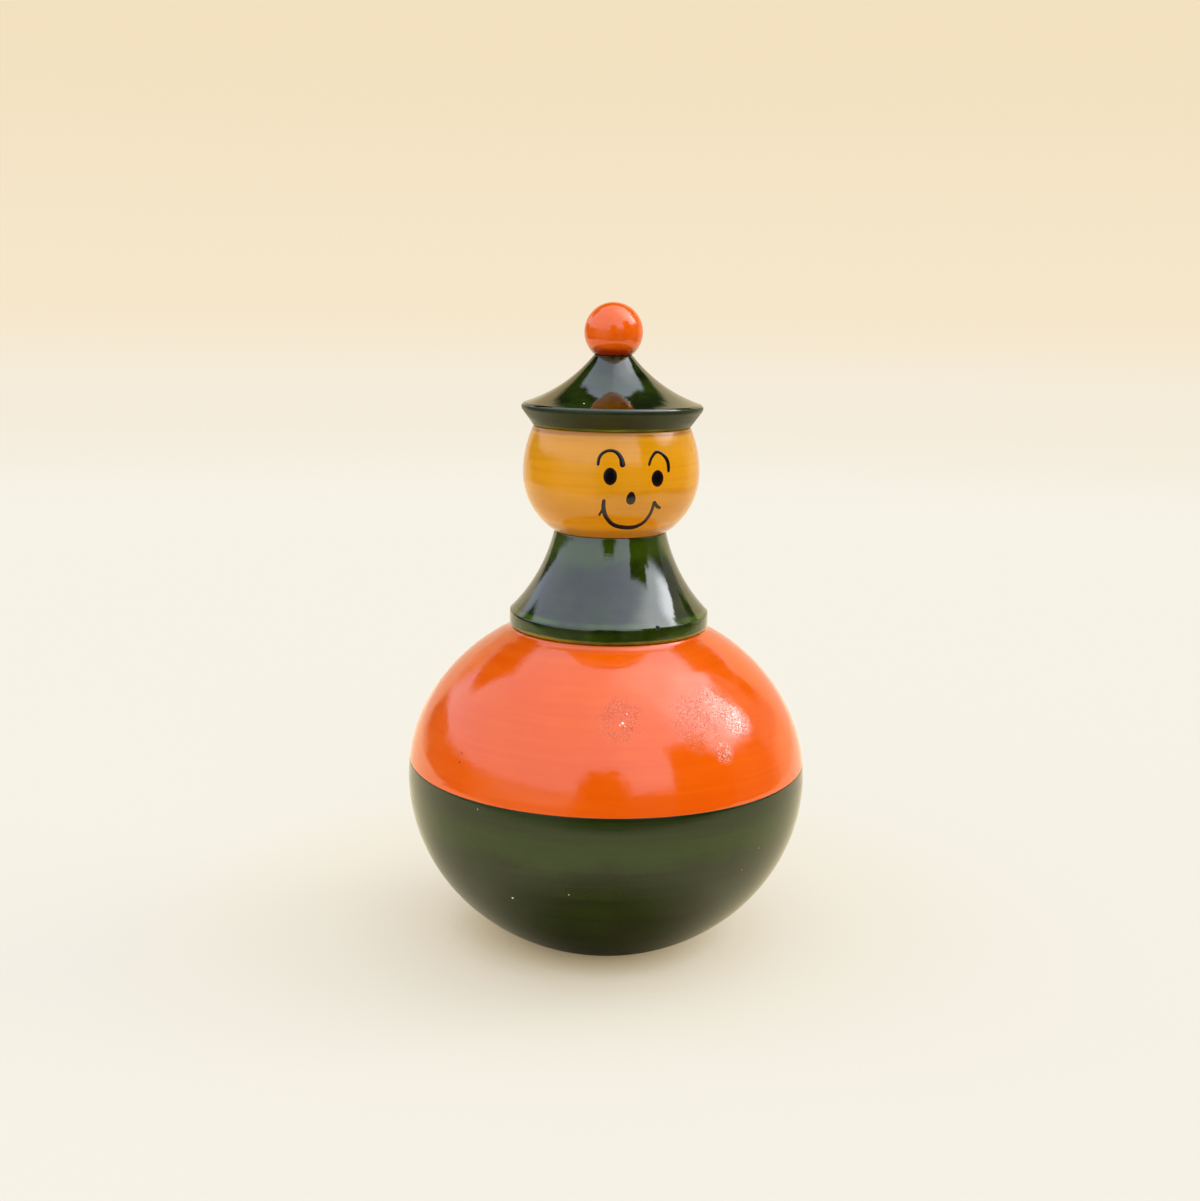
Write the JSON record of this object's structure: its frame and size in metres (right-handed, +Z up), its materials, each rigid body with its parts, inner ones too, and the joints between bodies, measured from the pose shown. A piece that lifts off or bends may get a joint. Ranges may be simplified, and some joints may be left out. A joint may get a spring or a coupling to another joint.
{
  "type": "roly poly toy",
  "caption": "Roly poly doll of turned, lacquered wood: a weighted round body that rights itself, a flared collar, a painted head and a brimmed hat with a ball.",
  "frame": {"origin": "the lowest point of the round base, on the axis that every piece is turned about", "axes": "+Z up along the turning axis, from the base to the ball on the hat; the painted face looks to -Y, and +X is to the left of the doll, which is to the right of someone who faces it"},
  "size_m": [0.08, 0.08, 0.1305],
  "materials": {
    "green_lac": "gloss",
    "orange_lac": "gloss",
    "amber_lac": "gloss",
    "face_paint": "satin",
    "bare_wood": "matte",
    "ballast_steel": "satin",
    "screw_steel": "satin"
  },
  "bodies": {
    "root": {"lower_bowl": "green_lac", "upper_dome": "orange_lac", "ballast_weight": "ballast_steel", "ballast_screw": "screw_steel", "collar": "green_lac", "neck_dowel": "bare_wood", "head": "amber_lac", "hat": "green_lac", "hat_ball": "orange_lac"}
  },
  "joints": []
}
